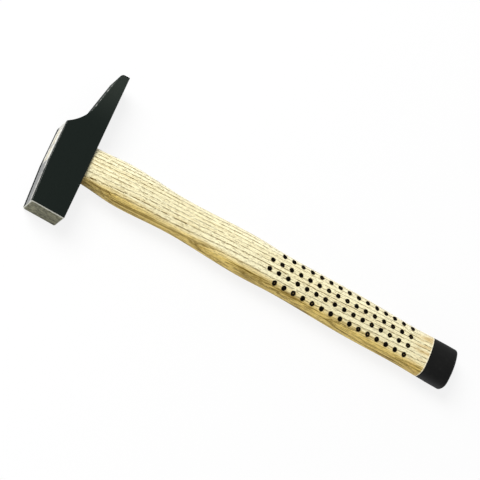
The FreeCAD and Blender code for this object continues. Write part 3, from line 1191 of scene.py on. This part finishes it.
def lacquer_material():
    """Black lacquer on the forging, ground off at the face and on top, and worn at an edge."""
    material, tree, shader, place = new_material("black_lacquer")
    split = add(tree, "SeparateXYZ", {0: place}).outputs
    ragged = about_zero(tree, noise(tree, place, 1.4, 3.0), 0.5)
    wander = about_zero(tree, noise(tree, place, (0.2, 0.2, 0.2), 3.0, 0.6), 4.0)
    reach = plus(tree, split["Y"], ragged)
    near, far = cheek_distances(tree, split)
    above = short_of(tree, split["X"], underside_span, half_height)
    upper = times(tree, above, past(tree, near, cheek_edge_span))
    slope = times(tree, upper, past(tree, split["Y"], slope_span))

    # Where the steel is bare: the striking face, the top round the eye, and wear along an edge.
    face = short_of(tree, reach, face_line_span, head_low.y + face_chamfer)
    top = ground_patch(tree, split, reach, plus(tree, near, ragged), plus(tree, far, ragged))
    worn = worn_edge(tree, place, split, plus(tree, near, ragged, wander), upper)
    bare = most(tree, face, top, worn)

    steel = {"Vector": place, "Bright": (0.84, 0.83, 0.78, 1), "Dull": (0.50, 0.49, 0.44, 1)}
    steel = place_group(tree, ground_steel, steel)
    ground = struck_face(tree, place, split, reach, face, steel["Color"])
    black, dust = black_coat(tree, place, split)
    colour = blend(tree, bare, black, ground)

    dirty = matt_dirt(tree, near, far, ragged, above, slope)
    gloss = times(tree, rest_of(tree, bare), rest_of(tree, dirty), 0.55)
    peel = noise(tree, place, 0.9, 2.0)
    lacquer = plus(
        tree, 0.24, times(tree, peel, 0.12), times(tree, dust, 0.2), times(tree, dirty, 0.7)
    )
    roughness = add(tree, "Mix", {0: bare, 2: lacquer, 3: steel["Roughness"]}).outputs[0]

    # Rough forging on the slope, grinding lines, orange peel in the lacquer, and slow waves.
    relief = plus(
        tree,
        times(tree, noise(tree, place, 0.9, 3.0, 0.6), slope, 5.0),
        times(tree, steel["Height"], bare, 0.4),
        times(tree, plus(tree, peel, dust), rest_of(tree, bare)),
        times(tree, noise(tree, place, 0.09, 2.0), 5.0),
    )
    others = {
        "Metallic": bare,
        "Coat Weight": gloss,
        "Coat Roughness": 0.18,
        "Specular IOR Level": 0.12,
    }
    dress(tree, shader, colour, roughness, relief, lacquer_relief, others)
    return material


def cap_material():
    """Matt black plastic, rubbed a little greyer in places, with a few pale specks."""
    fresh_black = (0.0034, 0.0036, 0.0034, 1)
    rubbed_black = (0.0065, 0.0065, 0.0060, 1)
    speck_grey = (0.030, 0.030, 0.027, 1)
    material, tree, shader, place = new_material("matt_black_plastic")
    skin = noise(tree, place, 5.0, 3.0, 0.6)
    rubbed = rise(tree, noise(tree, place, 0.25, 4.0), 0.5, 0.75)
    speck = rise(tree, noise(tree, place, 2.5, 1.0), 0.72, 0.76)
    colour = blend(tree, rubbed, fresh_black, rubbed_black)
    colour = blend(tree, times(tree, speck, 0.5), colour, speck_grey)
    roughness = plus(tree, 0.46, times(tree, skin, 0.2))
    dress(tree, shader, colour, roughness, skin, cap_relief, {"Specular IOR Level": 0.22})
    return material


# Studio


def make_floor():
    """A white table that lights the hammer as paper does, and looks plain white itself."""
    clear_selection()
    bpy.ops.mesh.primitive_plane_add(size=table_size, location=(table_middle_x, 0, -table_drop))
    floor = bpy.context.object
    floor.name = "white_table"
    material = bpy.data.materials.new("white_table")
    tree = empty_tree(material)
    paper = add(tree, "BsdfDiffuse", {"Color": (0.85, 0.85, 0.85, 1)})
    white = add(tree, "Emission", {"Color": (1, 1, 1, 1), "Strength": 1.0})
    rays = add(tree, "LightPath").outputs
    glossy = most(tree, rays["Is Glossy Ray"], rays["Is Transmission Ray"])
    seen = most(
        tree,
        times(tree, rays["Is Camera Ray"], table_brightness),
        times(tree, glossy, table_reflection),
    )
    mixed = add(tree, "MixShader", {0: seen, 1: paper.outputs[0], 2: white.outputs[0]})
    add(tree, "OutputMaterial", {"Surface": mixed.outputs[0]})
    floor.data.materials.append(material)


def make_world():
    """A white room: bright low down, dimmer overhead, and white to the camera."""
    world = bpy.data.worlds.new("white_room")
    bpy.context.scene.world = world
    tree = empty_tree(world)
    way = add(tree, "SeparateXYZ", {0: add(tree, "TexCoord").outputs["Generated"]}).outputs["Z"]
    overhead = rise(tree, way, dimming_start, dimming_end)
    strength = plus(tree, wall_brightness, times(tree, overhead, -ceiling_dimming))
    camera = add(tree, "LightPath").outputs["Is Camera Ray"]
    strength = most(tree, strength, camera)
    background = add(tree, "Background", {"Color": (1, 1, 1, 1), "Strength": strength})
    add(tree, "OutputWorld", {"Surface": background.outputs[0]})


def make_lamp(name, way, distance, size, power):
    """A square soft lamp on a bearing from the hammer's middle, turned to face it."""
    data = bpy.data.lights.new(name, "AREA")
    data.shape = "SQUARE"
    data.size = size
    data.energy = power
    lamp = bpy.data.objects.new(name, data)
    bpy.context.scene.collection.objects.link(lamp)
    bearing = Vector(way).normalized()
    lamp.location = Vector(((cad_box[0].x + cad_box[1].x) / 2, 0, middle_z)) + bearing * distance
    lamp.rotation_euler = bearing.to_track_quat("Z", "Y").to_euler()


def make_camera():
    """The photograph's view: from above the face's side, turned so that the handle falls away."""
    back = Vector(
        (
            math.cos(camera_elevation) * math.cos(camera_bearing),
            math.cos(camera_elevation) * math.sin(camera_bearing),
            math.sin(camera_elevation),
        )
    )
    data = bpy.data.cameras.new("camera")
    data.sensor_width = sensor_width
    data.lens = sensor_width * (focal_pixels / frame_pixels)
    data.clip_start = nearest_shown
    camera = bpy.data.objects.new("camera", data)
    bpy.context.scene.collection.objects.link(camera)
    turn = back.to_track_quat("Z", "Y").to_matrix() @ Matrix.Rotation(camera_roll, 3, "Z")
    place = Matrix.Translation(camera_aim + back * camera_distance)
    camera.matrix_world = place @ turn.to_4x4()
    bpy.context.scene.camera = camera


# The hammer

finish_piece(model_head(), lacquer_material(), "lacquered_steel", "head")
finish_piece(model_handle(), ash_material(), "ash", "handle")
finish_piece(model_cap(), cap_material(), "cap_plastic", "end_cap")
for node, material in (("wood_wedge", wedge_wood_material()), ("steel_wedge", steel_material())):
    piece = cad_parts[node]
    piece.data.materials.clear()
    piece.data.materials.append(material)

make_floor()
make_world()
make_lamp("key_lamp", way=(-0.64, 0.28, 0.72), distance=2.6, size=1.6, power=84.0)
make_lamp("side_lamp", way=(-0.2, -0.9, 0.5), distance=1.6, size=1.0, power=2.5)
make_camera()

bpy.context.scene.view_settings.view_transform = "Standard"
